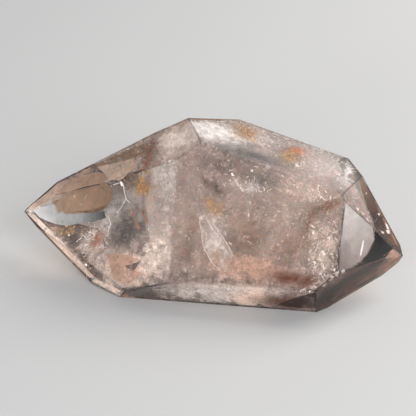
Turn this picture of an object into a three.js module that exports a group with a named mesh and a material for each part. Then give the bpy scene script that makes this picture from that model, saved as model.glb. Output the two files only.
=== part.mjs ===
// A double-terminated quartz crystal, ground and polished all over, lying on its resting face.
// Millimetres. +X runs along the crystal, -Y is its broad front and +Z is up.
// The origin is on the resting face, below the middle of the crystal's outline seen from above.
import * as THREE from "three";
import { ConvexGeometry } from "three/addons/geometries/ConvexGeometry.js";

// Height of the heart, the point inside the crystal that every facet is measured from.
const HEART_HEIGHT = 15.3;

// The polished facets. bearing is the way a facet faces, seen from above, in degrees from +X towards +Y.
// lean is how far it tips up, or down where it is negative, in degrees.
// reach is the distance from the heart to the facet.
const FACETS = {
  // The long sides of the crystal's body.
  rest: { bearing: 0, lean: -90, reach: HEART_HEIGHT },
  front: { bearing: -90, lean: 30, reach: 8.5 },
  foot: { bearing: -88, lean: -26, reach: 16.7 },
  top: { bearing: 10, lean: 76, reach: 17.6 },
  back: { bearing: 77, lean: 24, reach: 23.3 },
  backUnder: { bearing: 90, lean: -36, reach: 21.5 },
  // The clear point at the left.
  leftTop: { bearing: -148, lean: 57, reach: 16.9 },
  leftFront: { bearing: -112, lean: 28, reach: 10.6 },
  leftFoot: { bearing: -120, lean: -3, reach: 20.8 },
  leftBack: { bearing: 115, lean: 28, reach: 21.6 },
  leftShoulder: { bearing: 114, lean: 35, reach: 22.0 },
  leftNose: { bearing: 150, lean: 31, reach: 32.8 },
  leftUnder: { bearing: 175, lean: -60, reach: 26.3 },
  leftHeel: { bearing: 130, lean: -15, reach: 31.8 },
  // The smoky point at the right.
  rightFront: { bearing: -40, lean: 20, reach: 27.0 },
  rightTop: { bearing: -12, lean: 35, reach: 30.0 },
  rightFoot: { bearing: -46, lean: -20, reach: 28.3 },
  rightBack: { bearing: 28, lean: 24, reach: 33.5 },
  rightHeel: { bearing: 45, lean: -20, reach: 32.2 },
  rightUnder: { bearing: -15, lean: -63, reach: 26.4 },
  rightChin: { bearing: 0, lean: -52, reach: 32.1 },
};

// The colour of the milky body, and the gloss of its polish.
const QUARTZ_COLOUR = 0xbbaaa0;
const POLISH_ROUGHNESS = 0.06;

// Facets whose normals span less than this are taken to meet in no single corner.
const LEAST_SPREAD = 1e-6;
// A corner may stand this far past a facet that runs through it.
const CORNER_SLACK = 1e-6;

// A facet as a plane about the heart, with its normal pointing out of the crystal.
function facetPlane({ bearing, lean, reach }) {
  const turn = THREE.MathUtils.degToRad(bearing);
  const tip = THREE.MathUtils.degToRad(lean);
  const normal = new THREE.Vector3(
    Math.cos(turn) * Math.cos(tip),
    Math.sin(turn) * Math.cos(tip),
    Math.sin(tip),
  );
  return new THREE.Plane(normal, -reach);
}

// The point where three planes cross, or null where they have none in common.
function crossing(a, b, c) {
  const bc = new THREE.Vector3().crossVectors(b.normal, c.normal);
  const ca = new THREE.Vector3().crossVectors(c.normal, a.normal);
  const ab = new THREE.Vector3().crossVectors(a.normal, b.normal);
  const spread = a.normal.dot(bc);
  if (Math.abs(spread) < LEAST_SPREAD) return null;
  return bc
    .multiplyScalar(-a.constant)
    .addScaledVector(ca, -b.constant)
    .addScaledVector(ab, -c.constant)
    .divideScalar(spread);
}

// The corners of the solid that the planes close in.
function cornersOf(planes) {
  const corners = [];
  planes.forEach((a, i) =>
    planes.slice(i + 1).forEach((b, j) =>
      planes.slice(i + j + 2).forEach((c) => {
        const corner = crossing(a, b, c);
        if (corner === null) return;
        const isOnCrystal = planes.every((plane) => plane.distanceToPoint(corner) < CORNER_SLACK);
        if (isOnCrystal) corners.push(corner);
      }),
    ),
  );
  return corners;
}

// The crystal as one solid, standing on its resting face with the origin below its middle.
function crystalGeometry() {
  const planes = Object.values(FACETS).map(facetPlane);
  const geometry = new ConvexGeometry(cornersOf(planes));
  geometry.computeBoundingBox();
  const middle = geometry.boundingBox.getCenter(new THREE.Vector3());
  return geometry.translate(-middle.x, -middle.y, HEART_HEIGHT);
}

const quartz = new THREE.MeshStandardMaterial({
  color: QUARTZ_COLOUR,
  roughness: POLISH_ROUGHNESS,
  metalness: 0,
});

const crystal = new THREE.Mesh(crystalGeometry(), quartz);
crystal.name = "crystal";

const point = new THREE.Group();
point.add(crystal);

export default point;
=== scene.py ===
"""A polished, double-terminated quartz crystal: its clear body, and the veils, stains and smoke inside it."""

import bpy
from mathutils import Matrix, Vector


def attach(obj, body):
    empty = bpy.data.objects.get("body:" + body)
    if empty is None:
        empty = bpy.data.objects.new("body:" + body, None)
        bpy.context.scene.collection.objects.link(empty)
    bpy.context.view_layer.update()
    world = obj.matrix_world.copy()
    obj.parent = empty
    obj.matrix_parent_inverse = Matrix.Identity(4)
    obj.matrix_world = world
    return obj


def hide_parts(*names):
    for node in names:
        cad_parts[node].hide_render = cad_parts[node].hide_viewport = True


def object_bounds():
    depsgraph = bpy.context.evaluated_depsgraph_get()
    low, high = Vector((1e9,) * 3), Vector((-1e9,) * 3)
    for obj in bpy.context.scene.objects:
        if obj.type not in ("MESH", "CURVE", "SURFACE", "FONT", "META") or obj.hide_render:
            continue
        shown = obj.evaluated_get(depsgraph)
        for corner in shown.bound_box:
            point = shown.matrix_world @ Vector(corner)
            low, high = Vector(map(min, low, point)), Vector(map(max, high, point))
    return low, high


bl_info = {
    "name": "Polished Quartz Point",
    "version": (1, 0, 0),
    "blender": (4, 5, 0),
    "location": "View3D > Sidebar > Quartz Point",
    "description": "Builds a polished quartz crystal with its veils, stains and smoky zones",
    "category": "Add Mesh",
}

import itertools
import math
from typing import NamedTuple

import bmesh
import bpy
import numpy as np
from bpy.props import FloatProperty, FloatVectorProperty, IntProperty, PointerProperty
from mathutils import Matrix, Vector
from mathutils.bvhtree import BVHTree

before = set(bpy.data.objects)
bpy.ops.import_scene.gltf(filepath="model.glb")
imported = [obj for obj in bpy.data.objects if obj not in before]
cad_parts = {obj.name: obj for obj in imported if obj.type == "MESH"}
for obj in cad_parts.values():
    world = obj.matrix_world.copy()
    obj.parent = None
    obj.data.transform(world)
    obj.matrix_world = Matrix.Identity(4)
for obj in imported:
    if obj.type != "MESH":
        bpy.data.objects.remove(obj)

MM = 0.001
CAD_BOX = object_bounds()
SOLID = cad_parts["crystal"]
BODY = "root"

# Quartz bends light by this index.
QUARTZ_IOR = 1.544
# Height of the faint waves that the polish leaves in a facet.
POLISH_WAVES = 0.006 * MM

# The view, in the crystal's frame: the point looked at, and the camera's azimuth and elevation around it.
VIEW_TARGET = Vector((-0.2, -4.8, 17.65)) * MM
FRONT_VIEW = (math.radians(10), math.radians(30))
VIEW_DISTANCE = 354.7 * MM
VIEW_ANGLE = math.radians(15)
VIEW_PIXELS = 416
# A view of the sides that are hidden in the first: its azimuth and elevation.
BACK_VIEW = (math.radians(190), math.radians(15))

# Corners closer than this are one, and faces closer than this angle are one facet.
WELD = 0.001 * MM
FLAT_ANGLE = math.radians(0.2)
# Nothing inside the crystal comes closer to a facet than this.
SKIN_GAP = 0.3 * MM
# A corner on the border of two facets goes to the one it faces, if they are this close to level.
EDGE_SLACK = 0.01 * MM
# Facets whose normals span less than this meet in no single corner.
LEAST_SPAN = 1e-6
# A face less than this many radii across is part of an edge's rounding.
ROUNDING_RADII = 4

# The planes that the milk ends at: which way each faces, and its distance from the origin.
MILK_ENDS = (
    (Vector((-0.967, -0.131, -0.215)), 10.2 * MM),
    (Vector((0.735, -0.084, -0.673)), 18.0 * MM),
    (Vector((0.745, 0.655, 0.147)), 26.0 * MM),
)
# The milk fades out from this far inside its ends to this far outside them.
MILK_FADE = (4 * MM, 3 * MM)

# How far below the facets the outermost veil, the other veils and the flakes lie.
FILM_DEPTH = 0.65 * MM
VEIL_DEPTHS = (1.1 * MM, 2.0 * MM, 3.4 * MM)
FLAKE_DEPTH = 1.6 * MM
# Size of the outermost veil's cells.
FILM_CELL = 0.8 * MM
# Where a veil covers less than this, it is taken away.
LEAST_COVER = 0.03
# How far below the facets the patches of colour lie.
NEAR = 0.7 * MM
MIDDLE = 1.8 * MM
DEEP = 3.4 * MM
# How far above and below its own depth a patch still tells.
PATCH_THICKNESS = 1.2 * MM
# The higher this is, the sharper a patch's edge.
PATCH_SHARPNESS = 1.5
# The waves that fray the patches' edges: the length and height of each, and how many of a length.
WARP_WAVES = ((9 * MM, 0.3 * MM), (4 * MM, 0.25 * MM), (2 * MM, 0.15 * MM))
WAVES_OF_A_LENGTH = 3
WARP_SEED = 11

WHITE = (0.93, 0.91, 0.90)
PALE_PINK = (0.86, 0.75, 0.69)
PALE_GREY = (0.48, 0.45, 0.43)
PEACH = (0.52, 0.33, 0.25)
PINK_BROWN = (0.42, 0.26, 0.18)
BROWN = (0.22, 0.135, 0.08)
PALE_BROWN = (0.62, 0.48, 0.39)
PINK_GLOW = (0.72, 0.51, 0.41)
ORANGE_BROWN = (0.46, 0.25, 0.17)
DARK_BROWN = (0.06, 0.042, 0.032)
RUST_BROWN = (0.12, 0.04, 0.012)
BLACK_BROWN = (0.05, 0.011, 0.003)
GREY = (0.17, 0.155, 0.145)
DARK_GREY = (0.018, 0.017, 0.017)
WEDGE_DARK_GREY = (0.08, 0.08, 0.08)
REFLECTION_BLUE_WHITE = (0.88, 0.89, 0.91)
PALE_VEIL = (0.70, 0.67, 0.65)
PINK_GREY = (0.30, 0.23, 0.21)
PALE_BEIGE = (0.66, 0.56, 0.48)
TAN = (0.46, 0.32, 0.23)
DARK_TAN = (0.31, 0.20, 0.13)
PALE_PEACH = (0.62, 0.45, 0.36)
GOLD = (0.50, 0.27, 0.05)
AMBER = (0.80, 0.52, 0.20)
RED = (0.38, 0.075, 0.015)
OLIVE = (0.09, 0.07, 0.025)
PALE_TAN = (0.6, 0.47, 0.38)
LIGHT_GREY = (0.58, 0.54, 0.51)
GOLDEN_BROWN = (0.5, 0.33, 0.16)
BLACK_GREY = (0.05, 0.045, 0.04)
PALE_ROSE = (0.74, 0.58, 0.5)
MIDDLE_GREY = (0.27, 0.26, 0.25)
ARC_BROWN = (0.3, 0.165, 0.1)
DEEP_RUST = (0.18, 0.045, 0.008)
PALE_STONE = (0.76, 0.71, 0.68)
CREAM = (0.95, 0.76, 0.65)
DARK_RUST = (0.15, 0.045, 0.012)
ORANGE = (0.66, 0.2, 0.03)
SMOKY_RUST = (0.13, 0.035, 0.005)


class Patch(NamedTuple):
    """A patch below a facet, by where it shows in a view."""

    name: str
    pixel: tuple
    # Half its width and half its height, in pixels, and its turn in degrees, clockwise in the view.
    spread: tuple
    turn: float
    # How much of the quartz it covers, or how many threads lie in it.
    amount: float
    colour: tuple = WHITE
    depth: float = NEAR
    view: tuple = FRONT_VIEW

    def arms(self):
        """The steps in pixels from the patch's middle to its end and to its side."""
        turn = math.radians(self.turn)
        wide, high = self.spread
        along = np.array((math.cos(turn), math.sin(turn)))
        across = np.array((-math.sin(turn), math.cos(turn)))
        return along * wide, across * high


def patches(*rows, **shared):
    """Patches, each from a row of its own values and from those that all share."""
    return [Patch(*row, **shared) for row in rows]


# Patches of stain below the facets, and two of painted shade at the clear window on the left.
STAINS_AND_PAINTED_SHADE = patches(
    ("left tip", (33, 209), (9, 6), -20, 1.2, PALE_PINK),
    ("upper rim of the left point", (50, 194), (30, 6), -38, 1.3, PALE_PINK),
    ("rim of the left point", (52, 199), (32, 7), -35, 1.0, PALE_PINK),
    ("lower rim of the left point", (56, 237), (30, 7), 40, 0.8, PALE_PINK),
    ("lower edge of the left point", (59, 244), (36, 6), 42, 1.2, PALE_PINK),
    ("pale left shoulder", (78, 178), (30, 8), -32, 0.75, PALE_TAN),
    ("gold stain", (138, 188), (12, 10), 0, 0.35, GOLD),
    ("specked stain", (149, 156), (8, 17), 25, 0.45, RUST_BROWN),
    ("pale shoulder", (168, 182), (14, 36), 5, 0.7, LIGHT_GREY),
    ("bright lower left", (94, 242), (13, 18), 20, 0.7, PALE_PINK, MIDDLE),
    ("golden lower left", (66, 231), (14, 5), 6, 0.5, GOLDEN_BROWN),
    ("olive stain", (80, 256), (7, 13), -40, 0.6, OLIVE),
    ("rusty eye", (96, 240), (4, 7), 10, 0.6, RED),
    # Painted shade: the quartz at this window is clear and only looks dark; dark sheets stand in for it.
    ("dark window", (124, 231), (16, 24), 12, 1.2, DARK_GREY, DEEP),
    ("heart of the window", (123, 240), (10, 14), 20, 0.8, BLACK_GREY),
    ("smoke above the window", (121, 200), (18, 13), 0, 0.6, GREY),
    ("pink by the plate", (122, 270), (36, 22), 10, 1.0, PALE_ROSE),
    ("glow at the left", (155, 252), (22, 26), 25, 0.7, PALE_PINK),
    ("left end of the foot", (112, 284), (15, 6), 38, 0.9, PALE_PINK),
    ("white veil", (211, 232), (9, 24), -20, 0.45, WHITE),
    ("window in the veil", (222, 252), (7, 10), -25, 0.9, PINK_BROWN),
    ("golden fleck", (213, 206), (5, 10), -40, 0.5, AMBER),
    ("dark streak", (214, 187), (3, 17), -45, 0.7, BLACK_BROWN),
    ("white swirl", (248, 186), (18, 7), 15, 0.5, WHITE),
    ("brown left of the veil", (190, 238), (7, 26), 4, 0.5, BROWN),
    ("brown right of the veil", (247, 235), (12, 22), -20, 0.45, PINK_BROWN),
    ("pale upper right", (300, 188), (32, 14), 22, 0.45, PALE_PINK),
    ("grey below the ridge", (225, 165), (36, 10), 14, 0.6, GREY, MIDDLE),
    ("grey by the swirl", (264, 178), (20, 9), 12, 0.5, MIDDLE_GREY),
    ("dark band", (243, 153), (50, 5), 15, 0.8, GREY),
    ("upper brown arc", (330, 206), (16, 5), -15, 0.65, ARC_BROWN),
    ("lower brown arc", (308, 223), (18, 5), -55, 0.6, ARC_BROWN),
    ("pale above the arc", (290, 212), (16, 9), -30, 0.45, PALE_PINK),
    ("pale right of the front", (322, 245), (16, 26), 10, 0.5, PALE_PINK),
    ("brown below the arc", (290, 248), (18, 14), -20, 0.4, PINK_BROWN, MIDDLE),
    ("pink below", (246, 268), (46, 14), 5, 0.9, PINK_GLOW),
    ("rust at the lower right", (294, 279), (30, 9), 9, 1.5, DEEP_RUST),
    ("foot", (226, 293), (62, 10), 4, 0.9, PALE_STONE),
    ("beige end of the foot", (254, 299), (22, 9), 4, 1.0, CREAM),
    ("brown before the corner", (288, 302), (30, 8), 4, 1.1, DARK_RUST),
    ("white corner", (178, 139), (22, 15), -30, 0.8, WHITE),
    ("white top", (220, 132), (48, 11), 9, 0.75, WHITE),
    ("gold top", (246, 131), (13, 8), 20, 0.5, GOLD),
    ("orange fleck", (299, 151), (11, 4), 8, 1.1, ORANGE),
    ("gold below the fleck", (291, 158), (8, 6), 0, 0.5, AMBER),
    ("white shoulder", (330, 165), (28, 10), 24, 0.35, WHITE),
    ("end of the shoulder", (349, 177), (10, 9), 40, 0.42, WHITE),
    ("corner of the shoulder", (347, 165), (8, 10), 50, 0.65, WHITE),
    ("smoky strip", (352, 281), (50, 12), -33, 1.3, SMOKY_RUST),
    ("dark end of the strip", (324, 298), (14, 10), -33, 1.2, BLACK_BROWN),
)

# Stains on the hidden sides: the least and most that each may spread, turn and cover.
STRAY_COUNT = 30
STRAY_SEED = 7
STRAY_SPREADS = ((8, 5), (34, 13))
STRAY_TURNS = (-40, 40)
STRAY_COVERS = (0.4, 0.8)
STRAY_COLOURS = (WHITE, PALE_PINK, WHITE, PALE_GREY, BROWN, RUST_BROWN, GREY, AMBER)


class Plate(NamedTuple):
    """A flat, sharp-edged break or stain, or a sheet of painted reflection or painted shade."""

    name: str
    # How much of the quartz it covers.
    cover: float
    # Its colour at the first corner, and at the corner furthest from it where that one differs.
    colours: tuple
    # The corners of its outline in the view.
    outline: tuple


PLATES = (
    # Painted reflection: the bluish-white reflection of a lamp in the left tip, fading to dark grey.
    Plate("wedge at the tip", 1.2, (REFLECTION_BLUE_WHITE, WEDGE_DARK_GREY), (
        (34, 211), (42, 207), (53, 205), (57, 214), (80, 213), (104, 211), (106, 218), (93, 222),
        (79, 223), (68, 226), (56, 224), (47, 221), (39, 217),
    )),
    Plate("upper oval", 1.0, (PALE_BROWN, TAN), (
        (55, 192), (66, 182), (81, 176), (98, 172), (106, 174), (108, 179), (103, 184), (87, 186),
        (74, 190), (63, 193),
    )),
    Plate("lower oval", 1.1, (TAN, DARK_TAN), (
        (52, 203), (56, 194), (63, 193), (77, 190), (93, 186), (106, 182), (112, 189), (113, 198),
        (106, 208), (95, 212), (77, 214), (65, 214), (62, 211), (58, 213), (56, 206),
    )),
    Plate("lower edge of the oval", 0.7, (BROWN,), (
        (70, 212), (90, 210), (106, 205), (104, 210), (92, 213),
    )),
    Plate("film above the oval", 0.7, (DARK_TAN,), (
        (88, 167), (143, 144), (147, 152), (132, 158), (101, 170),
    )),
    Plate("beige plate", 0.85, (PALE_BEIGE, PALE_BROWN), (
        (97, 167), (133, 159), (136, 167), (122, 179), (109, 180), (104, 173),
    )),
    Plate("dark sliver", 0.7, (DARK_BROWN,), ((130, 173), (144, 169), (139, 173))),
    Plate("sliver by the window", 0.75, (ORANGE_BROWN,), ((129, 208), (131, 209), (140, 228), (138, 231))),
    Plate("second sliver", 0.75, (ORANGE_BROWN,), ((138, 206), (140, 208), (148, 221), (147, 224))),
    Plate("peach plate", 0.9, (PEACH, PALE_PEACH), (
        (107, 254), (127, 255), (140, 260), (124, 266), (126, 284), (114, 280),
    )),
    Plate("dark cut", 0.8, (BROWN, GREY), ((124, 266), (141, 261), (133, 272))),
    Plate("peach below the cut", 0.7, (PEACH, PALE_PEACH), ((126, 268), (143, 273), (127, 285))),
    Plate("dark strip of the foot", 0.75, (GREY,), (
        (122, 288), (140, 287), (168, 287), (150, 291), (159, 297), (130, 296),
    )),
    Plate("leaf of the veil", 0.42, (PALE_VEIL,), (
        (199, 217), (209, 215), (220, 233), (233, 258), (225, 272), (213, 263), (203, 246),
    )),
    Plate("black corner", 0.8, (BLACK_BROWN,), (
        (277, 305), (288, 300), (301, 296), (316, 291), (315, 308), (297, 308),
    )),
    # Painted reflection: a triangle of reflected light in the right end, white fading to pinkish grey.
    Plate("milky end", 1.3, (PALE_VEIL, PINK_GREY), (
        (346, 202), (373, 228), (374, 240), (366, 255), (352, 267), (339, 273), (341, 246),
    )),
    # Painted shade: a dark sheet where the clear right window only looks dark.
    Plate("dark right window", 1.15, (DARK_GREY,), (
        (375, 231), (393, 248), (386, 257), (354, 268), (367, 256), (375, 241),
    )),
    Plate("upper right edge", 1.1, (DARK_TAN, BLACK_BROWN), (
        (358, 178), (362, 178), (366, 185), (373, 197), (379, 208), (384, 218), (373, 220), (367, 207),
        (362, 191),
    )),
    Plate("lower right edge", 1.1, (BLACK_BROWN, BROWN), (
        (373, 220), (384, 218), (391, 231), (395, 238), (399, 246), (393, 245), (386, 240), (380, 234),
        (375, 228),
    )),
    Plate("rim of the right edge", 0.85, (DARK_TAN, ORANGE_BROWN), (
        (373, 198), (379, 208), (389, 227), (399, 247), (396, 244), (387, 228), (377, 208),
    )),
    Plate("right tip", 0.9, (PEACH, PALE_PEACH), (
        (383, 256), (393, 249), (401, 255), (396, 261), (389, 262),
    )),
    Plate("dark line above the strip", 1.0, (BLACK_BROWN,), (
        (320, 297), (345, 278), (370, 265), (384, 260), (378, 266), (350, 281), (326, 299),
    )),
    Plate("brown streak of the strip", 0.8, (BROWN, ORANGE_BROWN), (
        (330, 300), (352, 286), (377, 271), (385, 268), (360, 286), (337, 300),
    )),
    Plate("amber end of the strip", 0.9, (PEACH,), (
        (377, 269), (389, 262), (399, 257), (393, 263), (384, 271),
    )),
    Plate("dark edge of the strip", 0.8, (BLACK_BROWN,), (
        (352, 289), (366, 281), (379, 273), (375, 277), (359, 287),
    )),
    Plate("pale rim above", 1.0, (PALE_PINK, PALE_BROWN), (
        (27, 210), (43, 196), (58, 184), (70, 179), (68, 183), (58, 190), (45, 202), (33, 210),
    )),
    Plate("pale rim below", 1.0, (PALE_PINK,), (
        (27, 213), (45, 232), (62, 250), (78, 266), (90, 278), (94, 277), (82, 263), (66, 246),
        (49, 229), (33, 213),
    )),
    Plate("pale end of the foot", 0.9, (PALE_PINK,), (
        (92, 281), (103, 287), (117, 294), (121, 291), (108, 284), (95, 279),
    )),
)

# The white chips that stand out most, by the corners of their outlines in the view.
CHIPS = (
    ((385, 223), (387, 224), (389, 229), (387, 229)),
    ((386, 230), (389, 230), (390, 234), (387, 233)),
    ((381, 231), (384, 232), (384, 234), (382, 233)),
    ((378, 213), (380, 214), (379, 216)),
    ((366, 192), (367, 193), (366, 195)),
    ((341, 271), (344, 269), (345, 272), (342, 274)),
    ((335, 276), (338, 274), (338, 277)),
    ((329, 281), (333, 278), (332, 281)),
    ((322, 286), (326, 283), (325, 287)),
    ((333, 270), (335, 268), (335, 272)),
    ((356, 207), (359, 209), (358, 211)),
    ((361, 211), (365, 215), (363, 215)),
    ((366, 217), (369, 221), (367, 220)),
    ((363, 240), (364, 241), (363, 248), (361, 256), (360, 255), (361, 248)),
    ((120, 181), (122, 182), (123, 186), (121, 186)),
    ((321, 252), (323, 250), (326, 254), (324, 256)),
    ((327, 238), (329, 236), (330, 240)),
    ((250, 171), (253, 169), (253, 172)),
    ((239, 187), (241, 188), (244, 191), (243, 192)),
    ((312, 262), (315, 261), (316, 264)),
)
CHIP_COVER = 1.4

SPARKLES = patches(
    ("top", (235, 134), (60, 13), 10, 1.6),
    ("upper right of the front", (318, 196), (15, 9), 20, 1.8),
    ("right shoulder", (320, 164), (38, 12), 23, 1.0),
    ("right of the front", (325, 250), (20, 36), 15, 2.6),
    ("chips on the ridge", (328, 280), (27, 6), -25, 2.0),
    ("veil", (214, 236), (11, 29), -25, 0.8),
    ("lower left", (92, 245), (18, 20), 20, 0.9),
    ("left shoulder", (162, 165), (14, 26), 10, 0.6),
    ("swirl", (248, 186), (20, 9), 15, 0.7),
    ("right edge", (379, 222), (5, 16), -27, 2.2),
    ("chips of the right edge", (383, 229), (4, 5), -27, 4.0),
    ("chips by the milky end", (363, 213), (10, 3), 45, 2.5),
)

DARK_SPECKS = patches(
    ("shoulder", (149, 156), (10, 20), 25, 0.9),
    ("streak", (214, 187), (4, 18), -45, 1.0),
    ("top", (225, 125), (40, 6), 8, 0.5),
    ("front", (280, 225), (60, 45), 10, 0.2),
    ("ridge", (310, 285), (30, 8), -15, 0.7),
    ("lower left", (84, 252), (12, 16), -40, 0.6),
)

GOLD_FLECKS = patches(
    ("left", (138, 188), (12, 10), 0, 0.8),
    ("top", (246, 131), (10, 8), 20, 0.8),
    ("below the orange fleck", (291, 157), (8, 6), 0, 0.8),
    ("front", (213, 206), (4, 9), -40, 1.0),
    ("lower left", (66, 232), (12, 5), 6, 0.5),
)

RUST_FLECKS = patches(
    ("orange fleck", (299, 151), (10, 4), 8, 2.0),
    ("top", (246, 131), (12, 8), 20, 0.5),
    ("rusty eye", (96, 240), (4, 7), 10, 1.0),
    ("shoulder", (150, 153), (8, 17), 25, 1.3),
    ("spots by the veil", (206, 237), (2, 6), 0, 0.8),
    ("lower right", (298, 283), (24, 7), 9, 0.5),
)


class FlakeKind(NamedTuple):
    """One kind of flake: where it lies, how large it is and what it looks like."""

    name: str
    patches: tuple
    # How thickly it lies in the milk outside its patches, against 1 for as thick as can be.
    in_milk: float
    # The colour of the stray stains it lies in.
    stray_colour: tuple
    # Its size against a middling flake's.
    size: float
    slot: str
    # Its darkest and lightest colour, and how much it shines like metal.
    dark: tuple
    light: tuple
    metallic: float


FLAKE_KINDS = (
    FlakeKind(
        "white_sparkles", SPARKLES, 0.1, WHITE, 1.25, "veil",
        dark=(0.80, 0.76, 0.72), light=(1.0, 0.99, 0.97), metallic=0.6,
    ),
    FlakeKind(
        "dark_specks", DARK_SPECKS, 0.03, GREY, 1.1, "iron_stain",
        dark=(0.02, 0.01, 0.005), light=(0.2, 0.11, 0.07), metallic=0.0,
    ),
    FlakeKind(
        "gold_flecks", GOLD_FLECKS, 0.0, AMBER, 1.9, "iron_stain",
        dark=(0.22, 0.09, 0.02), light=(0.80, 0.52, 0.18), metallic=0.3,
    ),
    FlakeKind(
        "rust_flecks", RUST_FLECKS, 0.0, RUST_BROWN, 1.7, "iron_stain",
        dark=(0.16, 0.03, 0.008), light=(0.75, 0.2, 0.04), metallic=0.2,
    ),
)

# A flake's corners, and the least and most that it is stretched along and across.
FLAKE_CORNERS = 5
FLAKE_STRETCHES = ((0.5, 0.2, 1.0), (1.8, 0.9, 1.0))
# A flake's least size against a middling one's, how much larger it may be, and how rare large ones are.
FLAKE_LEAST_SIZE = 0.65
FLAKE_SIZE_RANGE = 1.8
FLAKE_RARITY = 4.0

# How bright a veil's grain is on the whole, and how far it strays from that in a veil and in a plate.
GRAIN_BRIGHTNESS = 0.95
VEIL_CONTRAST = 0.4
PLATE_CONTRAST = 0.15
# How much a veil hides between its wisps, for its cover.
VEIL_HAZE = 0.3

# Scales of the cloudy patterns in the materials, against a metre.
BROAD_CLOUDS = 110
POLISH_CLOUDS = 90
POLISH_DENTS = 120
CORE_CLOUDS = 250
CORE_GLOSS = 400
CORE_DENTS = 700
VEIL_GRAIN = 1900
PLATE_GRAIN = 420
WISPS = 480
FLECK_TONES = 2500
FLECK_GLOSS = 4000
FLAKE_CLUMPS = 500

# What each facet lets through: painted shade that makes each facet lighter or darker for how the light falls
# on it, and the real smoky brown of the facet at the lower right, each by a pixel of the view that shows the
# facet.
FACET_PAINTED_SHADE_AND_TINT = (
    ((260, 220), (0.78, 0.71, 0.67)),
    ((160, 200), (1.00, 1.00, 1.00)),
    ((110, 165), (0.90, 0.80, 0.72)),
    ((105, 284), (1.00, 0.96, 0.92)),
    ((230, 292), (1.00, 1.00, 1.00)),
    ((240, 133), (0.95, 0.95, 0.95)),
    ((350, 190), (0.80, 0.77, 0.75)),
    ((355, 240), (1.00, 1.00, 1.00)),
    ((350, 280), (0.50, 0.34, 0.25)),
)
# What every other facet lets through: one faint painted shade and tint for all of them.
HIDDEN_FACET_PAINTED_SHADE_AND_TINT = (0.94, 0.89, 0.86)
# Normals whose dot product is above this belong to one facet.
SAME_FACET = 0.999
# What the polish lets through of a lamp's light.
LAMPLIGHT_TINT = (0.93, 0.91, 0.89)

# Lines of white cracks, by where they show in the view.
CRACKS = (
    ((113, 185), (119, 183), (123, 183)),
    ((123, 183), (124, 190), (126, 199), (122, 206), (117, 213)),
    ((126, 199), (130, 203)),
    ((108, 216), (111, 224), (108, 232)),
    ((234, 178), (238, 185), (245, 190), (250, 189)),
    ((212, 222), (219, 232), (228, 245), (233, 256)),
    ((206, 218), (213, 230), (221, 240)),
    ((199, 218), (201, 231), (203, 246), (211, 261), (220, 271)),
)
CRACK_TONES = ((0.7, 0.66, 0.62), WHITE)
VEIN_TONES = (BLACK_BROWN, BROWN)
CRACK_SHINE = 0.2

# Where the fine white threads lie, and how many.
THREADS = patches(
    ("right of the front", (326, 250), (17, 30), 15, 60),
    ("ridge", (322, 281), (22, 5), -22, 34),
    ("veil", (216, 232), (9, 22), -25, 18),
    ("swirl", (248, 184), (16, 7), 15, 14),
    ("lower left", (90, 246), (14, 14), 20, 20),
    ("top", (240, 134), (42, 8), 10, 40),
    ("upper right of the front", (318, 196), (13, 7), 20, 18),
    ("right shoulder", (322, 165), (28, 9), 23, 20),
    ("left shoulder", (165, 175), (10, 26), 5, 16),
    ("upper front", (262, 178), (40, 12), 12, 14),
) + patches(
    ("back", (190, 205), (110, 36), 0, 110),
    ("back of the clear point", (320, 225), (34, 14), 10, 24),
    view=BACK_VIEW,
)
# Where the fine brown veins lie, and how many.
VEINS = patches(
    ("arc", (316, 215), (22, 5), -35, 14),
    ("dark streak", (214, 187), (3, 14), -45, 12),
    ("dark band", (243, 153), (44, 4), 15, 26),
    ("specked shoulder", (149, 157), (7, 15), 25, 14),
    ("lower right", (292, 279), (26, 6), 9, 20),
    ("window", (124, 228), (12, 18), 12, 10),
) + patches(
    ("back", (170, 215), (90, 30), 0, 40),
    view=BACK_VIEW,
)
THREAD_SEED = 21
# A thread's least and most pieces, their least and most length in pixels, and how far each turns.
THREAD_PIECES = (2, 4)
THREAD_LENGTHS = (0.5, 1.4)
THREAD_BEND = 0.4


class Lamp(NamedTuple):
    """A square area light that looks at the crystal."""

    name: str
    # Its azimuth and elevation in degrees, and its distance and size in metres.
    azimuth: float
    elevation: float
    distance: float
    size: float
    colour: tuple


LAMPS = (
    Lamp("key", 130, 42, 0.6, 0.3, (1.0, 0.97, 0.93)),
    Lamp("fill", 42, 30, 0.8, 0.4, (0.97, 0.98, 1.0)),
    Lamp("side", -25, 8, 0.8, 0.18, (1.0, 0.98, 0.95)),
)
SKY_COLOUR = (0.5, 0.52, 0.55)
# Half the floor's width, and how far below the crystal it lies.
FLOOR_REACH = 1.5
FLOOR_GAP = 0.05 * MM


def length_setting(name, description, default, **limits):
    """A setting that is a length."""
    return FloatProperty(name=name, description=description, default=default, unit="LENGTH", **limits)


def share_setting(name, description, default):
    """A setting from 0 to 1."""
    limits = {"min": 0.0, "max": 1.0}
    return FloatProperty(name=name, description=description, default=default, subtype="FACTOR", **limits)


def colour_setting(name, description, default):
    """A setting that is a colour."""
    limits = {"min": 0.0, "max": 1.0}
    return FloatVectorProperty(name=name, description=description, default=default, subtype="COLOR", **limits)


def power_setting(name, description, default):
    """A setting that is the power of a light."""
    return FloatProperty(name=name, description=description, default=default, min=0.0, unit="POWER")


class CrystalSettings(bpy.types.PropertyGroup):
    """The clear body."""

    edge_radius: length_setting(
        "Edge radius", "Rounding that the polish leaves on every edge", 0.28 * MM, min=0.05 * MM
    )
    roughness: share_setting("Roughness", "Dullness of the polish", 0.02)
    tint: colour_setting("Tint", "Colour that the clear quartz lets through", (0.82, 0.70, 0.62))
    tint_density: FloatProperty(
        name="Tint density", description="How fast the tint builds up, per metre", default=28.0, min=0.0
    )


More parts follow.
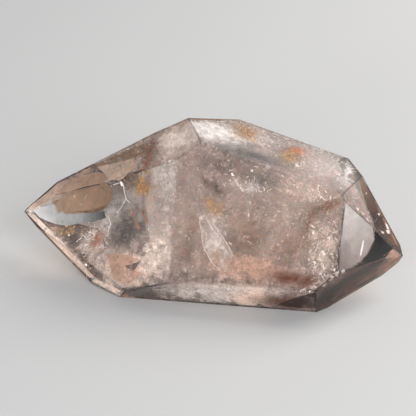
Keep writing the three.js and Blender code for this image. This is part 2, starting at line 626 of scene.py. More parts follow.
class MilkSettings(bpy.types.PropertyGroup):
    """The milky cloud in the middle, and the veils around it."""

    colour: colour_setting(
        "Milk", "Colour of the milky cloud where nothing stains it", (0.56, 0.48, 0.45)
    )
    core_depth: length_setting(
        "Core depth", "How far below the facets the thick of the cloud begins", 4.6 * MM
    )
    lump_size: length_setting("Lump size", "Size of the cloud's lumps", 5 * MM)
    veil_cover: share_setting("Veil cover", "How much of the core each veil hides", 0.42)


class FlakeSettings(bpy.types.PropertyGroup):
    """The flakes, specks and flecks in the veils."""

    size: length_setting("Flake size", "Radius of a middling flake", 0.15 * MM)
    density: FloatProperty(
        name="Flakes",
        description="Flakes on a square metre of veil, where they are thickest",
        default=4.0e7,
        min=0.0,
    )
    drift: length_setting("Drift", "How far a flake may lie from the veil", 1.0 * MM)
    seed: IntProperty(name="Seed", description="Seed of the flakes' places", default=4)


class CrackSettings(bpy.types.PropertyGroup):
    """The white cracks and the brown veins."""

    thickness: length_setting("Thickness", "Radius of a crack's line", 0.06 * MM)
    depth: length_setting("Depth", "How far below the facets the cracks run", 0.7 * MM)


class PlateSettings(bpy.types.PropertyGroup):
    """The sharp-edged plates."""

    depth: length_setting("Depth", "How far below the facets the first plate lies", 0.58 * MM)
    rise: length_setting(
        "Rise", "How much closer to the facets each plate lies than the one before it", 0.009 * MM
    )
    chip_depth: length_setting("Chip depth", "How far below the facets the white chips lie", 0.32 * MM)
    thickness: length_setting("Thickness", "Thickness of a plate", 0.006 * MM)


class StageSettings(bpy.types.PropertyGroup):
    """The floor and the lights."""

    floor_colour: colour_setting("Floor", "Colour of the floor", (0.42, 0.417, 0.413))
    key_power: power_setting("Key light", "Power of the light behind the crystal, at the right", 3.6)
    fill_power: power_setting("Fill light", "Power of the light in front of the crystal, at the right", 5.0)
    side_power: power_setting("Side light", "Power of the low light in front, at the left", 4.0)


def shown(name, data):
    """A new object in the scene. A piece's stays at the origin, with its place in its mesh."""
    piece = bpy.data.objects.new(name, data)
    bpy.context.scene.collection.objects.link(piece)
    return piece


def held_inside(name, mesh, slot):
    """Show a finished piece that lies inside the crystal and moves with it."""
    piece = shown(name, mesh)
    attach(piece, BODY)


def mesh_of(name, shape):
    """The plain mesh of a shape that is done with."""
    mesh = bpy.data.meshes.new(name)
    shape.to_mesh(mesh)
    shape.free()
    return mesh


def solved_mesh(name, rough):
    """The plain mesh that an object's modifiers give, in place of the object."""
    depsgraph = bpy.context.evaluated_depsgraph_get()
    mesh = bpy.data.meshes.new_from_object(rough.evaluated_get(depsgraph), depsgraph=depsgraph)
    bpy.data.objects.remove(rough)
    mesh.name = name
    return mesh


def add(tree, kind, inputs=None, **options):
    """A new node. An input that is given a node or a socket is linked to it, and any other is set."""
    node = tree.nodes.new(kind)
    for option, value in options.items():
        setattr(node, option, value)
    for name, value in (inputs or {}).items():
        if isinstance(value, bpy.types.Node):
            value = next(output for output in value.outputs if output.enabled)
        if isinstance(value, bpy.types.NodeSocket):
            tree.links.new(value, node.inputs[name])
        else:
            node.inputs[name].default_value = value
    return node


def reckoned(tree, operation, *values):
    """A node that reckons one number from others."""
    return add(tree, "ShaderNodeMath", dict(enumerate(values)), operation=operation)


def scaled(tree, vector, scale):
    """A node that makes a vector longer or shorter."""
    return add(tree, "ShaderNodeVectorMath", {0: vector, "Scale": scale}, operation="SCALE")


def new_material(name, surface, *details, volume=None):
    """A material whose surface, and volume if it has one, the functions given build from the details."""
    material = bpy.data.materials.new(name)
    material.use_nodes = True
    tree = material.node_tree
    tree.nodes.clear()
    ends = {"Surface": surface(tree, *details)}
    if volume:
        ends["Volume"] = volume(tree, *details)
    add(tree, "ShaderNodeOutputMaterial", ends)
    return material


def around(azimuth, elevation, distance):
    """The offset from the target to a place at that azimuth, elevation and distance."""
    flat = math.cos(elevation)
    way = Vector((math.sin(azimuth) * flat, -math.cos(azimuth) * flat, math.sin(elevation)))
    return distance * way


def aimed(place, target):
    """The world matrix of a camera or light at place that looks at target."""
    turn = (target - place).to_track_quat("-Z", "Y")
    return Matrix.Translation(place) @ turn.to_matrix().to_4x4()


def facet_planes(mesh):
    """The facets of a mesh, each as its outward normal and its distance from the origin."""
    shape = bmesh.new()
    shape.from_mesh(mesh)
    bmesh.ops.remove_doubles(shape, verts=shape.verts, dist=WELD)
    bmesh.ops.dissolve_limit(shape, angle_limit=FLAT_ANGLE, verts=shape.verts, edges=shape.edges)
    planes = [(f.normal.copy(), f.normal.dot(f.calc_center_median())) for f in shape.faces]
    shape.free()
    return planes


FACETS = facet_planes(SOLID.data)
SKIN = BVHTree.FromPolygons(
    [vertex.co for vertex in SOLID.data.vertices],
    [face.vertices for face in SOLID.data.polygons],
)

FACET_NORMALS = np.array([normal for normal, _ in FACETS])
FACET_REACHES = np.array([reach for _, reach in FACETS])


def inset(depth):
    """The planes that lie that deep below the facets."""
    return [(normal, reach - depth) for normal, reach in FACETS]


def corners(planes):
    """The corners of the solid inside the planes, each with its three normals."""
    for trio in itertools.combinations(planes, 3):
        normals = [normal for normal, _ in trio]
        rows = Matrix(normals)
        if abs(rows.determinant()) < LEAST_SPAN:
            continue
        corner = rows.inverted() @ Vector([reach for _, reach in trio])
        if all(normal.dot(corner) < reach + WELD for normal, reach in planes):
            yield corner, normals


def hull(points):
    """The convex shape around the points, with each flat side as one face."""
    shape = bmesh.new()
    for point in points:
        shape.verts.new(point)
    bmesh.ops.remove_doubles(shape, verts=shape.verts, dist=WELD)
    found = bmesh.ops.convex_hull(shape, input=shape.verts)
    loose = [item for item in found["geom_interior"] if isinstance(item, bmesh.types.BMVert)]
    bmesh.ops.delete(shape, geom=loose, context="VERTS")
    bmesh.ops.recalc_face_normals(shape, faces=shape.faces)
    bmesh.ops.dissolve_limit(shape, angle_limit=FLAT_ANGLE, verts=shape.verts, edges=shape.edges)
    return shape


def film(name, planes, spacing):
    """The flat faces inside the planes, parted at their edges and sliced into small cells."""
    shape = hull(corner for corner, _ in corners(planes))
    low, high = (Vector(corner) for corner in CAD_BOX)
    for axis in range(3):
        normal = Vector((0, 0, 0))
        normal[axis] = 1
        for place in np.arange(low[axis] + spacing, high[axis], spacing):
            everything = [*shape.verts, *shape.edges, *shape.faces]
            bmesh.ops.bisect_plane(shape, geom=everything, plane_co=normal * place, plane_no=normal)
    sharp = [edge for edge in shape.edges if edge.calc_face_angle() > FLAT_ANGLE]
    bmesh.ops.split_edges(shape, edges=sharp)
    return mesh_of(name, shape)


def rounded_solid(name, planes, radius, steps):
    """The solid inside the planes, with its edges and corners rounded to radius."""
    points = []
    for corner, (a, b, c) in corners([(normal, reach - radius) for normal, reach in planes]):
        for i in range(steps + 1):
            for j in range(steps + 1 - i):
                way = (a * i + b * j + c * (steps - i - j)).normalized()
                points.append(corner + way * radius)
    mesh = mesh_of(name, hull(points))
    facet_area = (ROUNDING_RADII * radius) ** 2
    for face in mesh.polygons:
        face.use_smooth = face.area < facet_area
    return mesh


def view_ray(pixel, view=FRONT_VIEW):
    """The camera's place in a view, and the way to a pixel of it."""
    azimuth, elevation = view
    back = around(azimuth, elevation, 1)
    right = Vector((math.cos(azimuth), math.sin(azimuth), 0))
    up = back.cross(right)
    reach = math.tan(VIEW_ANGLE / 2)
    across = (2 * pixel[0] / VIEW_PIXELS - 1) * reach
    above = (1 - 2 * pixel[1] / VIEW_PIXELS) * reach
    way = (right * across + up * above - back).normalized()
    return VIEW_TARGET + back * VIEW_DISTANCE, way


def facet_at(pixel, view=FRONT_VIEW):
    """The point of the facet that shows at a pixel of a view, and the facet's normal."""
    hit, normal, _, _ = SKIN.ray_cast(*view_ray(pixel, view))
    if hit is None:
        raise RuntimeError(f"no facet shows at {pixel}")
    return hit, normal


def bent(way, normal):
    """A ray's way once the facet has bent it into the quartz."""
    bend = 1 / QUARTZ_IOR
    cosine = -way.dot(normal)
    return bend * way + (bend * cosine - math.sqrt(1 - bend**2 * (1 - cosine**2))) * normal


def seat(pixel, depth, view=FRONT_VIEW):
    """The point inside the crystal that shows at a pixel of a view, depth below the facet."""
    hit, normal = facet_at(pixel, view)
    inward = bent(view_ray(pixel, view)[1], normal)
    return hit - inward * (depth / inward.dot(normal))


def on_plane(pixel, view, hit, normal):
    """The point that a pixel's ray meets on the plane of a facet."""
    place, way = view_ray(pixel, view)
    return place + way * ((hit - place).dot(normal) / way.dot(normal))


def warped(points):
    """The points, shifted by waves of many lengths, so that a patch's edge runs unevenly."""
    dice = np.random.default_rng(WARP_SEED)
    shifted = points.copy()
    for length, height in WARP_WAVES:
        for _ in range(WAVES_OF_A_LENGTH):
            ways = dice.normal(size=(2, 3))
            along = points @ ways[0] / np.linalg.norm(ways[0])
            wave = np.sin(math.tau * along / length + dice.uniform(0, math.tau))
            shifted += wave[:, None] * ways[1] * height
    return shifted


def patch_share(patch, points):
    """How strongly a patch tells at each point, from 0 to 1."""
    hit, normal = facet_at(patch.pixel, patch.view)
    centre = seat(patch.pixel, patch.depth, patch.view)
    ends = [patch.pixel + arm for arm in patch.arms()]
    axes = [on_plane(end, patch.view, hit, normal) - hit for end in ends]
    local = np.array(Matrix((*axes, normal * PATCH_THICKNESS)).transposed().inverted())
    offset = (points - np.array(centre)) @ local.T
    return np.exp(-((offset[:, 0] ** 2 + offset[:, 1] ** 2) ** PATCH_SHARPNESS) - offset[:, 2] ** 2)


def smooth_step(low, high, values):
    """0 below low, 1 above high, and smooth between."""
    share = np.clip((values - low) / (high - low), 0, 1)
    return share * share * (3 - 2 * share)


def points_of(mesh):
    """The places of a mesh's corners, one to a row."""
    points = np.empty(len(mesh.vertices) * 3)
    mesh.vertices.foreach_get("co", points)
    return points.reshape(-1, 3)


def facet_of(mesh):
    """The number of the facet that each corner of a mesh lies under."""
    normals = np.empty(len(mesh.vertices) * 3)
    mesh.vertex_normals.foreach_get("vector", normals)
    gaps = FACET_REACHES - points_of(mesh) @ FACET_NORMALS.T
    facing = normals.reshape(-1, 3) @ FACET_NORMALS.T
    return (gaps - EDGE_SLACK * facing).argmin(axis=1)


def facet_number(patch):
    """The number of the facet that a patch lies under."""
    return (FACET_NORMALS @ np.array(facet_at(patch.pixel, patch.view)[1])).argmax()


def kept_inside(points):
    """The points, with any that come too close to a facet pushed back below it."""
    inside = points.copy()
    for normal, reach in zip(FACET_NORMALS, FACET_REACHES):
        past = inside @ normal - (reach - SKIN_GAP)
        inside -= np.clip(past, 0, None)[:, None] * normal
    return inside


def milk_share(points):
    """1 inside the milk, 0 outside it."""
    inside, outside = MILK_FADE
    share = np.ones(len(points))
    for normal, reach in MILK_ENDS:
        share *= smooth_step(-outside, inside, reach - points @ np.array(normal))
    return share


def stray_stains():
    """Stains strewn over the sides that the view doesn't show."""
    dice = np.random.default_rng(STRAY_SEED)
    stains = []
    while len(stains) < STRAY_COUNT:
        pixel = tuple(dice.uniform(0, VIEW_PIXELS, 2))
        spread = tuple(dice.uniform(*STRAY_SPREADS))
        turn = dice.uniform(*STRAY_TURNS)
        cover = dice.uniform(*STRAY_COVERS)
        colour = STRAY_COLOURS[dice.integers(len(STRAY_COLOURS))]
        hit, normal, _, _ = SKIN.ray_cast(*view_ray(pixel, BACK_VIEW))
        if hit is not None and normal.dot(around(*FRONT_VIEW, 1)) < 0:
            stains.append(Patch("stray", pixel, spread, turn, cover, colour, view=BACK_VIEW))
    return stains


def threads(groups):
    """Short, uneven lines strewn over patches: the pixels of each, and the view they belong to."""
    dice = np.random.default_rng(THREAD_SEED)
    fewest, most = THREAD_PIECES
    for patch in groups:
        along, across = patch.arms()
        for _ in range(patch.amount):
            shift = dice.uniform(-1, 1, 2)
            heading = dice.uniform(0, math.tau)
            line = [np.array(patch.pixel) + along * shift[0] + across * shift[1]]
            for _ in range(dice.integers(fewest, most + 1)):
                heading += dice.normal(0, THREAD_BEND)
                step = dice.uniform(*THREAD_LENGTHS)
                line.append(line[-1] + step * np.array((math.cos(heading), math.sin(heading))))
            rays = [(pixel, view_ray(pixel, patch.view)) for pixel in line]
            inside = [pixel for pixel, ray in rays if SKIN.ray_cast(*ray)[0] is not None]
            if len(inside) > 1:
                yield inside, patch.view


def lay_cover(mesh, cover):
    """Keep a value from 0 to 1 at each corner of a mesh, as its cover."""
    layer = mesh.attributes.get("cover") or mesh.attributes.new("cover", "FLOAT", "POINT")
    layer.data.foreach_set("value", cover.astype(np.float32))


def dress(mesh, milk_colour, milk_cover):
    """Lay tone and cover on a veil: milk in the middle, and the stains and painted shade over it."""
    points = points_of(mesh)
    cover = milk_share(points) * milk_cover
    tone = np.tile(np.array(milk_colour), (len(points), 1))
    uneven = warped(points)
    facets = facet_of(mesh)
    for patch in (*STAINS_AND_PAINTED_SHADE, *stray_stains()):
        share = patch_share(patch, uneven) * (facets == facet_number(patch))
        tone += share[:, None] * (np.array(patch.colour) - tone)
        cover += share * (patch.amount - cover)
    tones = mesh.color_attributes.new("tone", "FLOAT_COLOR", "POINT")
    tones.data.foreach_set("color", np.c_[tone, np.ones(len(tone))].astype(np.float32).ravel())
    lay_cover(mesh, cover)


def corner_colours(plate):
    """The colour of each corner of a plate, which may change evenly from one end to the other."""
    corners_apart = np.array(plate.outline) - plate.outline[0]
    furthest = corners_apart[np.linalg.norm(corners_apart, axis=1).argmax()]
    share = np.clip(corners_apart @ furthest / (furthest @ furthest), 0, 1)
    start = np.array(plate.colours[0])
    end = np.array(plate.colours[-1])
    return start + share[:, None] * (end - start)


def trim(mesh, least):
    """Take away the parts of a veil with less cover than that."""
    shape = bmesh.new()
    shape.from_mesh(mesh)
    cover = shape.verts.layers.float["cover"]
    bare = [vertex for vertex in shape.verts if vertex[cover] < least]
    bmesh.ops.delete(shape, geom=bare, context="VERTS")
    shape.to_mesh(mesh)
    shape.free()


def cloud(name, planes, radius, voxel, lump_size, lump_height):
    """A lumpy closed cloud inside the planes."""
    rough = shown(name, rounded_solid(name, planes, radius, steps=6))
    remesh = rough.modifiers.new("remesh", "REMESH")
    remesh.mode = "VOXEL"
    remesh.voxel_size = voxel
    remesh.use_smooth_shade = True
    texture = bpy.data.textures.new(name, "CLOUDS")
    texture.noise_scale = lump_size
    texture.noise_depth = 3
    lumps = rough.modifiers.new("lumps", "DISPLACE")
    lumps.texture = texture
    lumps.strength = lump_height
    mesh = solved_mesh(name, rough)
    mesh.vertices.foreach_set("co", kept_inside(points_of(mesh)).ravel())
    mesh.update()
    return mesh


def paint_facet_shades_and_tints(mesh):
    """Paint each facet its own faint shade and tint, as painted light and shade that stand in for how light
    falls on each facet.
    """
    facet_shades_and_tints = [(facet_at(pixel)[1], tint) for pixel, tint in FACET_PAINTED_SHADE_AND_TINT]
    layer = mesh.color_attributes.new("facet_tint", "FLOAT_COLOR", "CORNER")
    for face in mesh.polygons:
        colour = HIDDEN_FACET_PAINTED_SHADE_AND_TINT
        for normal, tint in facet_shades_and_tints:
            if face.normal.dot(normal) > SAME_FACET:
                colour = tint
        for corner in face.loop_indices:
            layer.data[corner].color = (*colour, 1)


def mottled(tree, scale, low, high, detail=8):
    """A cloudy pattern in the object's own space, from low to high."""
    clouds = add(tree, "ShaderNodeTexNoise", {
        "Vector": add(tree, "ShaderNodeTexCoord").outputs["Object"],
        "Scale": scale,
        "Detail": detail,
        "Roughness": 0.72,
    })
    return add(tree, "ShaderNodeMapRange", {
        "Value": clouds,
        "From Min": 0.3,
        "From Max": 0.7,
        "To Min": low,
        "To Max": high,
    })


def dented(tree, scale, depth, detail=8):
    """Normals for a surface with dents of that depth."""
    height = mottled(tree, scale, 0, 1, detail)
    return add(tree, "ShaderNodeBump", {"Height": height, "Distance": depth})


def quartz_surface(tree, settings):
    """Polished quartz that lets the lamps light what is inside it."""
    polish = add(tree, "ShaderNodeBsdfPrincipled", {
        # Its colour is each facet's painted shade and tint.
        "Base Color": add(tree, "ShaderNodeVertexColor", layer_name="facet_tint"),
        "Transmission Weight": 1,
        "IOR": QUARTZ_IOR,
        "Roughness": mottled(tree, POLISH_CLOUDS, 0.5 * settings.roughness, 1.5 * settings.roughness),
        "Normal": dented(tree, POLISH_DENTS, POLISH_WAVES, detail=0),
    })
    clear = add(tree, "ShaderNodeBsdfTransparent", {"Color": (*LAMPLIGHT_TINT, 1)})
    path = add(tree, "ShaderNodeLightPath")
    return add(tree, "ShaderNodeMixShader", {"Fac": path.outputs["Is Shadow Ray"], 1: polish, 2: clear})


def quartz_smoke(tree, settings):
    """The faint smoke all through the quartz."""
    return add(tree, "ShaderNodeVolumeAbsorption", {
        "Color": (*settings.tint, 1),
        "Density": settings.tint_density,
    })


def milk_tone(tree, scale, low, high):
    """The tone laid on the mesh, mottled lighter and darker."""
    tone = add(tree, "ShaderNodeVertexColor", layer_name="tone")
    broad = mottled(tree, BROAD_CLOUDS, 0.75, 1.25)
    return scaled(tree, tone, reckoned(tree, "MULTIPLY", broad, mottled(tree, scale, low, high)))


def core_surface(tree):
    """The thick of the milk: dull and soft."""
    return add(tree, "ShaderNodeBsdfPrincipled", {
        "Base Color": milk_tone(tree, CORE_CLOUDS, 0.5, 1.3),
        "Roughness": mottled(tree, CORE_GLOSS, 0.65, 0.95),
        "Normal": dented(tree, CORE_DENTS, 0.3 * MM),
        "Subsurface Weight": 1,
        "Subsurface Scale": 3 * MM,
    })


def veil_surface(tree, grain=VEIL_GRAIN, contrast=VEIL_CONTRAST, detail=8):
    """Wisps of milk and stain, with clear quartz where they don't cover it."""
    tone = milk_tone(tree, grain, GRAIN_BRIGHTNESS - contrast, GRAIN_BRIGHTNESS + contrast)
    wisp = add(tree, "ShaderNodeMixShader", {
        1: add(tree, "ShaderNodeBsdfDiffuse", {"Color": tone}),
        2: add(tree, "ShaderNodeBsdfTranslucent", {"Color": tone}),
    })
    cover = add(tree, "ShaderNodeAttribute", attribute_name="cover").outputs["Fac"]
    crisp = add(tree, "ShaderNodeMapRange", {
        "Value": reckoned(tree, "ADD", mottled(tree, WISPS, 0, 1, detail), cover),
        "From Min": 0.85,
        "From Max": 1.4,
        "To Max": 0.9,
    })
    haze = reckoned(tree, "MULTIPLY", cover, VEIL_HAZE)
    return add(tree, "ShaderNodeMixShader", {
        "Fac": reckoned(tree, "MAXIMUM", crisp, haze),
        1: add(tree, "ShaderNodeBsdfTransparent"),
        2: wisp,
    })


def plate_surface(tree):
    """A smooth break or stain, or a painted reflection or shade, like a veil with hardly any grain."""
    return veil_surface(tree, PLATE_GRAIN, PLATE_CONTRAST, detail=2)


def fleck_surface(tree, dark, light, metallic):
    """Flecks from dark to light, as shiny as thin breaks in the quartz."""
    tone = add(tree, "ShaderNodeMix", {
        "Factor": mottled(tree, FLECK_TONES, 0, 1),
        "A": (*dark, 1),
        "B": (*light, 1),
    }, data_type="RGBA")
    return add(tree, "ShaderNodeBsdfPrincipled", {
        "Base Color": tone,
        "Roughness": mottled(tree, FLECK_GLOSS, 0.15, 0.45),
        "Metallic": metallic,
    })


def floor_surface(tree, colour):
    """A plain pale floor."""
    return add(tree, "ShaderNodeBsdfPrincipled", {"Base Color": (*colour, 1), "Roughness": 0.7})


def scatter_tree():
    """Flakes scattered in clumps over a veil, as many as its cover asks for, at all angles."""
    tree = bpy.data.node_groups.new("scatter_flakes", "GeometryNodeTree")
    sockets = {
        "Veil": "NodeSocketGeometry",
        "Density": "NodeSocketFloat",
        "Size": "NodeSocketFloat",
        "Drift": "NodeSocketFloat",
        "Seed": "NodeSocketInt",
        "Material": "NodeSocketMaterial",
    }
    for name, kind in sockets.items():
        tree.interface.new_socket(name, in_out="INPUT", socket_type=kind)
    tree.interface.new_socket("Flakes", in_out="OUTPUT", socket_type="NodeSocketGeometry")
    start = add(tree, "NodeGroupInput").outputs
    seed = start["Seed"]

    def each(kind, low, high):
        """A value of its own for each flake."""
        return add(tree, "FunctionNodeRandomValue", {"Min": low, "Max": high, "Seed": seed}, data_type=kind)

    cover = add(tree, "GeometryNodeInputNamedAttribute", {"Name": "cover"}, data_type="FLOAT")
    clumps = add(tree, "ShaderNodeTexNoise", {"Scale": FLAKE_CLUMPS, "Detail": 3, "Roughness": 0.6})
    share = add(tree, "ShaderNodeMapRange", {"Value": clumps, "From Min": 0.48, "From Max": 0.66})
    wanted = reckoned(tree, "MULTIPLY", cover, share)
    density = reckoned(tree, "MULTIPLY", wanted, start["Density"])
    points = add(tree, "GeometryNodeDistributePointsOnFaces", {
        "Mesh": start["Veil"],
        "Density": density,
        "Seed": seed,
    })
    drift = each("FLOAT_VECTOR", (-1, -1, -1), (1, 1, 1))
    loose = add(tree, "GeometryNodeSetPosition", {
        "Geometry": points,
        "Offset": scaled(tree, drift, start["Drift"]),
    })
    rarity = reckoned(tree, "POWER", each("FLOAT", 0, 1), FLAKE_RARITY)
    growth = reckoned(tree, "MULTIPLY_ADD", rarity, FLAKE_SIZE_RANGE, FLAKE_LEAST_SIZE)
    reach = reckoned(tree, "MULTIPLY", growth, start["Size"])
    shape = each("FLOAT_VECTOR", *FLAKE_STRETCHES)
    flake = add(tree, "GeometryNodeMeshCircle", {"Vertices": FLAKE_CORNERS, "Radius": 1}, fill_type="NGON")
    flakes = add(tree, "GeometryNodeInstanceOnPoints", {
        "Points": loose,
        "Instance": flake,
        "Rotation": each("FLOAT_VECTOR", (0, 0, 0), (math.tau, math.tau, math.tau)),
        "Scale": scaled(tree, shape, reach),
    })
    real = add(tree, "GeometryNodeRealizeInstances", {"Geometry": flakes})
    finish = add(tree, "GeometryNodeSetMaterial", {"Geometry": real, "Material": start["Material"]})
    add(tree, "NodeGroupOutput", {"Flakes": finish})
    return tree


def scattered(name, veil, tree, values):
    """The mesh that a scatter tree makes of a veil's mesh."""
    rough = shown(name, veil)
    modifier = rough.modifiers.new("scatter", "NODES")
    modifier.node_group = tree
    for item in tree.interface.items_tree:
        if item.name in values:
            modifier[item.identifier] = values[item.name]
    return solved_mesh(name, rough)


def hang(lamp, power):
    """Hang a lamp of that power."""
    light = bpy.data.lights.new(lamp.name, "AREA")
    light.shape = "SQUARE"
    light.size = lamp.size
    light.energy = power
    light.color = lamp.colour
    hung = shown(lamp.name, light)
    offset = around(math.radians(lamp.azimuth), math.radians(lamp.elevation), lamp.distance)
    hung.matrix_world = aimed(VIEW_TARGET + offset, VIEW_TARGET)


class QUARTZ_OT_crystal(bpy.types.Operator):
    """Make the clear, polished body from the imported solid."""

    bl_idname = "quartz.crystal"
    bl_label = "Clear Crystal"

    def execute(self, context):
        settings = context.scene.quartz_crystal
        mesh = rounded_solid("polished_crystal", FACETS, settings.edge_radius, steps=4)
        quartz = new_material("polished_quartz", quartz_surface, settings, volume=quartz_smoke)
        mesh.materials.append(quartz)
        # Painted shade: each facet made lighter or darker by its own tint.
        paint_facet_shades_and_tints(mesh)
        crystal = shown("polished_crystal", mesh)
        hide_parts("crystal")
        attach(crystal, BODY)
        return {"FINISHED"}


class QUARTZ_OT_milk(bpy.types.Operator):
    """Make the milky cloud: its thick core, and the veils around it."""

    bl_idname = "quartz.milk"
    bl_label = "Milky Cloud"

    def execute(self, context):
        settings = context.scene.quartz_milk
        inner = inset(settings.core_depth) + list(MILK_ENDS)
        lumps = {"lump_size": settings.lump_size, "lump_height": 2 * MM}
        core = cloud("milky_core", inner, radius=3 * MM, voxel=0.6 * MM, **lumps)
        dress(core, settings.colour, 1)
        core.materials.append(new_material("milky_core", core_surface))
        held_inside("milky_core", core, "veil")
        veils = {"surface_film": film("surface_film", inset(FILM_DEPTH), FILM_CELL)}
        for number, depth in enumerate(VEIL_DEPTHS, 1):
            name = f"milky_veil_{number}"
            lumps = {"lump_size": settings.lump_size, "lump_height": 0.8 * MM}
            veils[name] = cloud(name, inset(depth), radius=0.8 * MM, voxel=0.5 * MM, **lumps)
        material = new_material("milky_veil", veil_surface)
        for name, veil in veils.items():
            dress(veil, settings.colour, settings.veil_cover)
            trim(veil, LEAST_COVER)
            veil.materials.append(material)
            held_inside(name, veil, "veil")
        return {"FINISHED"}


class QUARTZ_OT_flakes(bpy.types.Operator):
    """Scatter bright flakes, dark specks and rusty flecks through the veils."""

    bl_idname = "quartz.flakes"
    bl_label = "Flakes"

    def execute(self, context):
        settings = context.scene.quartz_flakes
        tree = scatter_tree()
        for number, kind in enumerate(FLAKE_KINDS):
            name = kind.name
            lumps = {"lump_size": 5 * MM, "lump_height": 0.4 * MM}
            veil = cloud(name, inset(FLAKE_DEPTH), radius=0.8 * MM, voxel=0.8 * MM, **lumps)
            points = points_of(veil)
            cover = milk_share(points) * kind.in_milk
            strays = [stain for stain in stray_stains() if stain.colour == kind.stray_colour]
            for patch in (*kind.patches, *strays):
                cover += patch_share(patch, warped(points)) * (patch.amount - cover)
            lay_cover(veil, cover)
            values = {
                "Density": settings.density,
                "Size": settings.size * kind.size,
                "Drift": settings.drift,
                "Seed": settings.seed + number,
                "Material": new_material(name, fleck_surface, kind.dark, kind.light, kind.metallic),
            }
            held_inside(name, scattered(name, veil, tree, values), kind.slot)
        return {"FINISHED"}


class QUARTZ_OT_cracks(bpy.types.Operator):
    """Draw the white cracks and threads, and the brown veins."""

    bl_idname = "quartz.cracks"
    bl_label = "Cracks"

    def execute(self, context):
        settings = context.scene.quartz_cracks
        cracks = [(pixels, FRONT_VIEW) for pixels in CRACKS]
        kinds = (
            ("white_cracks", (*cracks, *threads(THREADS)), "veil", CRACK_TONES),
            ("brown_veins", threads(VEINS), "iron_stain", VEIN_TONES),
        )
        for name, lines, slot, tones in kinds:
            curve = bpy.data.curves.new(name, "CURVE")
            curve.dimensions = "3D"
            curve.bevel_depth = settings.thickness
            curve.bevel_resolution = 1
            for pixels, view in lines:
                line = curve.splines.new("POLY")
                line.points.add(len(pixels) - 1)
                for point, pixel in zip(line.points, pixels):
                    point.co = (*seat(pixel, settings.depth, view), 1)
            mesh = solved_mesh(name, shown(name, curve))
            mesh.materials.append(new_material(name, fleck_surface, *tones, CRACK_SHINE))
            held_inside(name, mesh, slot)
        return {"FINISHED"}


class QUARTZ_OT_plates(bpy.types.Operator):
    """Lay the sharp-edged plates close below the facets."""

    bl_idname = "quartz.plates"
    bl_label = "Plates"

    def execute(self, context):
        settings = context.scene.quartz_plates
        shape = bmesh.new()
        tone = shape.verts.layers.float_color.new("tone")
        cover = shape.verts.layers.float.new("cover")
        chips = [Plate("chip", CHIP_COVER, (WHITE,), outline) for outline in CHIPS]
        depths = [settings.depth - number * settings.rise for number in range(len(PLATES))]
        depths += [settings.chip_depth] * len(chips)
        for plate, depth in zip((*PLATES, *chips), depths):
            spots = np.array([seat(pixel, depth) for pixel in plate.outline])
            rim = [shape.verts.new(spot) for spot in kept_inside(spots)]
            for vertex, colour in zip(rim, corner_colours(plate)):
                vertex[tone] = (*colour, 1)
                vertex[cover] = plate.cover
            shape.faces.new(rim)
        bmesh.ops.triangulate(shape, faces=shape.faces)
        bmesh.ops.solidify(shape, geom=shape.faces[:], thickness=settings.thickness)
        bmesh.ops.recalc_face_normals(shape, faces=shape.faces)
        mesh = mesh_of("plates", shape)
        mesh.materials.append(new_material("plates", plate_surface))
        held_inside("plates", mesh, "veil")
        return {"FINISHED"}


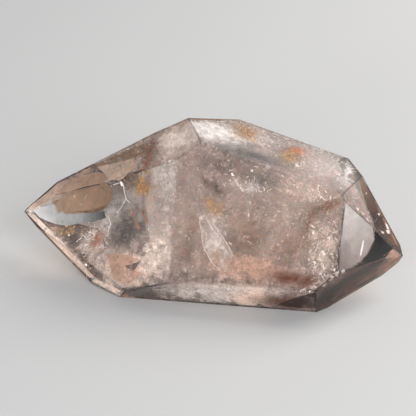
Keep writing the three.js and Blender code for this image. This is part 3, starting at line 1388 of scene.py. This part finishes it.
class QUARTZ_OT_stage(bpy.types.Operator):
    """Lay the floor, hang the lights and set the camera."""

    bl_idname = "quartz.stage"
    bl_label = "Stage"

    def execute(self, context):
        settings = context.scene.quartz_stage
        shape = bmesh.new()
        bmesh.ops.create_grid(shape, x_segments=1, y_segments=1, size=FLOOR_REACH)
        bmesh.ops.translate(shape, verts=shape.verts, vec=(0, 0, -FLOOR_GAP))
        mesh = mesh_of("floor", shape)
        mesh.materials.append(new_material("pale_floor", floor_surface, settings.floor_colour))
        shown("floor", mesh)

        for lamp in LAMPS:
            hang(lamp, getattr(settings, f"{lamp.name}_power"))
        world = bpy.data.worlds.new("studio")
        world.use_nodes = True
        sky = world.node_tree.nodes["Background"].inputs
        sky["Color"].default_value = (*SKY_COLOUR, 1)
        sky["Strength"].default_value = 1.0
        context.scene.world = world
        context.scene.view_settings.view_transform = "Standard"
        context.scene.cycles.transparent_max_bounces = 32

        camera = shown("camera", bpy.data.cameras.new("camera"))
        camera.data.angle = VIEW_ANGLE
        camera.data.clip_start = 10 * MM
        place = VIEW_TARGET + around(*FRONT_VIEW, VIEW_DISTANCE)
        camera.matrix_world = aimed(place, VIEW_TARGET)
        context.scene.camera = camera
        return {"FINISHED"}


class QUARTZ_PT_panel(bpy.types.Panel):
    """The pieces of the crystal, and what can be changed on them."""

    bl_idname = "QUARTZ_PT_panel"
    bl_label = "Quartz Point"
    bl_space_type = "VIEW_3D"
    bl_region_type = "UI"
    bl_category = "Quartz Point"

    def draw(self, context):
        for name, (group, operator) in STEPS.items():
            box = self.layout.box()
            for setting in group.__annotations__:
                box.prop(getattr(context.scene, name), setting)
            box.operator(operator.bl_idname)


# Each step's settings on the scene, and the operator that reads them.
STEPS = {
    "quartz_crystal": (CrystalSettings, QUARTZ_OT_crystal),
    "quartz_milk": (MilkSettings, QUARTZ_OT_milk),
    "quartz_flakes": (FlakeSettings, QUARTZ_OT_flakes),
    "quartz_cracks": (CrackSettings, QUARTZ_OT_cracks),
    "quartz_plates": (PlateSettings, QUARTZ_OT_plates),
    "quartz_stage": (StageSettings, QUARTZ_OT_stage),
}


def register():
    for name, (group, operator) in STEPS.items():
        bpy.utils.register_class(group)
        bpy.utils.register_class(operator)
        setattr(bpy.types.Scene, name, PointerProperty(type=group))
    bpy.utils.register_class(QUARTZ_PT_panel)


def unregister():
    bpy.utils.unregister_class(QUARTZ_PT_panel)
    for name, (group, operator) in STEPS.items():
        delattr(bpy.types.Scene, name)
        bpy.utils.unregister_class(operator)
        bpy.utils.unregister_class(group)


def main():
    register()
    bpy.ops.quartz.crystal()
    bpy.ops.quartz.milk()
    bpy.ops.quartz.flakes()
    bpy.ops.quartz.cracks()
    bpy.ops.quartz.plates()
    bpy.ops.quartz.stage()


if __name__ == "__main__":
    main()
